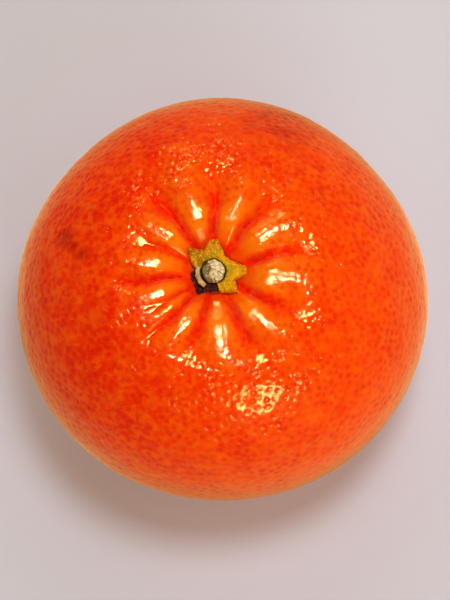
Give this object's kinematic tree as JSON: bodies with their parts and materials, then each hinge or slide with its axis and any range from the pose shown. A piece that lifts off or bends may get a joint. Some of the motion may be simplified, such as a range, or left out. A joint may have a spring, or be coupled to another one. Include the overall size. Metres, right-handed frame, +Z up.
{
  "type": "mandarin",
  "caption": "Whole mandarin standing on its blossom end: a flattened round fruit with pitted peel, pleated round a torn calyx and a stub of stem.",
  "frame": {"origin": "on the surface that the fruit rests on, under the middle of its outline seen from above", "axes": "+Z up through the stem end; the calyx's lobes lie towards +X, +Y, between -X and +Y, and between +X and -Y, and its torn side lies between -X and -Y"},
  "size_m": [0.066, 0.0648, 0.0524],
  "materials": {
    "peel": "waxy orange-red citrus peel, pitted by oil glands",
    "calyx": "drying yellow-green calyx",
    "dry_wood": "dry, broken, cream-coloured wood"
  },
  "bodies": {
    "root": {"fruit": "peel", "calyx": "calyx", "stem_stub": "dry_wood"}
  },
  "joints": []
}
